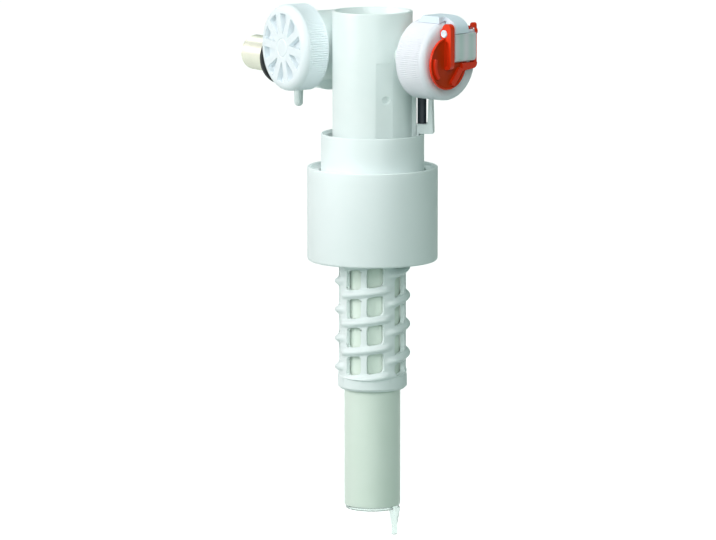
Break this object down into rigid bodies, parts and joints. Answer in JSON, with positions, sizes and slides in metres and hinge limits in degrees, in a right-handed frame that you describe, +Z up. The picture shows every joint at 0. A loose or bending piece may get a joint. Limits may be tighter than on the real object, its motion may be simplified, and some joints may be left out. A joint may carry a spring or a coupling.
{
  "type": "toilet fill valve",
  "caption": "Side-inlet cistern fill valve: upright column with annular float on a threaded lattice sleeve, servo lever head, strainer cap, threaded inlet shank and long outlet tube.",
  "frame": {"origin": "where the inlet's axis meets the cistern wall, at the wall face of the shank gasket", "axes": "+Z up along the column, +Y along the inlet shank out through the cistern wall, -X along the strainer cap's axis"},
  "size_m": [0.0605, 0.1534, 0.2462],
  "materials": {
    "body_white": "moulded, slightly translucent",
    "tube_white": "extruded, slightly translucent",
    "float_white": "moulded satin",
    "cap_white": "moulded satin with fine flutes",
    "strainer_white": "moulded satin with fine flutes",
    "hood_white": "moulded",
    "inner_white": "moulded",
    "clear_plastic": "translucent moulding",
    "lever_red": "moulded",
    "rod_black": "moulded",
    "rubber_black": "moulded rubber",
    "shank_nickel": "nickel plated"
  },
  "bodies": {
    "valve_body": {"main_body": "body_white", "outlet_tube": "tube_white", "outlet_seal": "rubber_black", "drip_nozzle": "clear_plastic", "inlet_shank": "shank_nickel", "shank_gasket": "rubber_black", "shank_seal": "rubber_black", "flow_restrictor": "inner_white", "valve_seat": "inner_white", "diaphragm": "rubber_black", "valve_cap": "cap_white", "cap_hood": "hood_white", "pivot_block": "clear_plastic", "lever_pin": "hood_white"},
    "carrier": {"carrier": "float_white", "rod_clip": "float_white", "push_rod": "rod_black"},
    "sleeve": {"lattice_sleeve": "float_white"},
    "float": {"float_cup": "float_white"},
    "lever": {"lever": "lever_red", "pilot_pad": "rubber_black"},
    "plunger": {"valve_plunger": "rod_black"},
    "strainer_unit": {"strainer_basket": "inner_white", "strainer_seal": "rubber_black"},
    "strainer_cap": {"strainer_cap": "strainer_white"}
  },
  "joints": [
    {"name": "carrier_rise", "type": "slide", "parent": "valve_body", "child": "carrier", "axis": [0, 0, 1], "range_m": [0, 0.0028]},
    {"name": "lever_swing", "type": "hinge", "parent": "valve_body", "child": "lever", "pos_m": [0.01815, -0.12096, 0.021], "axis": [0.9659, 0.2588, 0], "range_deg": [0, 4.9]},
    {"name": "plunger_travel", "type": "slide", "parent": "valve_body", "child": "plunger", "axis": [-0.2588, 0.9659, 0], "range_m": [0, 0.001]},
    {"name": "sleeve_turn", "type": "hinge", "parent": "carrier", "child": "sleeve", "pos_m": [0.0049, -0.0715, -0.088], "axis": [0, 0, 1], "range_deg": [-80, 1074]},
    {"name": "float_height", "type": "slide", "parent": "carrier", "child": "float", "axis": [0, 0, 1], "range_m": [-0.04, 0.003]},
    {"name": "cap_turn", "type": "hinge", "parent": "strainer_unit", "child": "strainer_cap", "pos_m": [-0.021, -0.041, 0.0093], "axis": [-1, 0, 0], "range_deg": [0, 90]},
    {"name": "strainer_back_off", "type": "slide", "parent": "valve_body", "child": "strainer_unit", "axis": [-1, 0, 0], "range_m": [0, 0.002]}
  ],
  "couplings": [
    {"joint": "lever_swing", "follows": "carrier_rise", "rad_per_m": 30.452},
    {"joint": "plunger_travel", "follows": "carrier_rise", "ratio": 0.357},
    {"joint": "float_height", "follows": "sleeve_turn", "m_per_rad": -0.0021327},
    {"joint": "strainer_back_off", "follows": "cap_turn", "m_per_rad": 0.0012732}
  ]
}
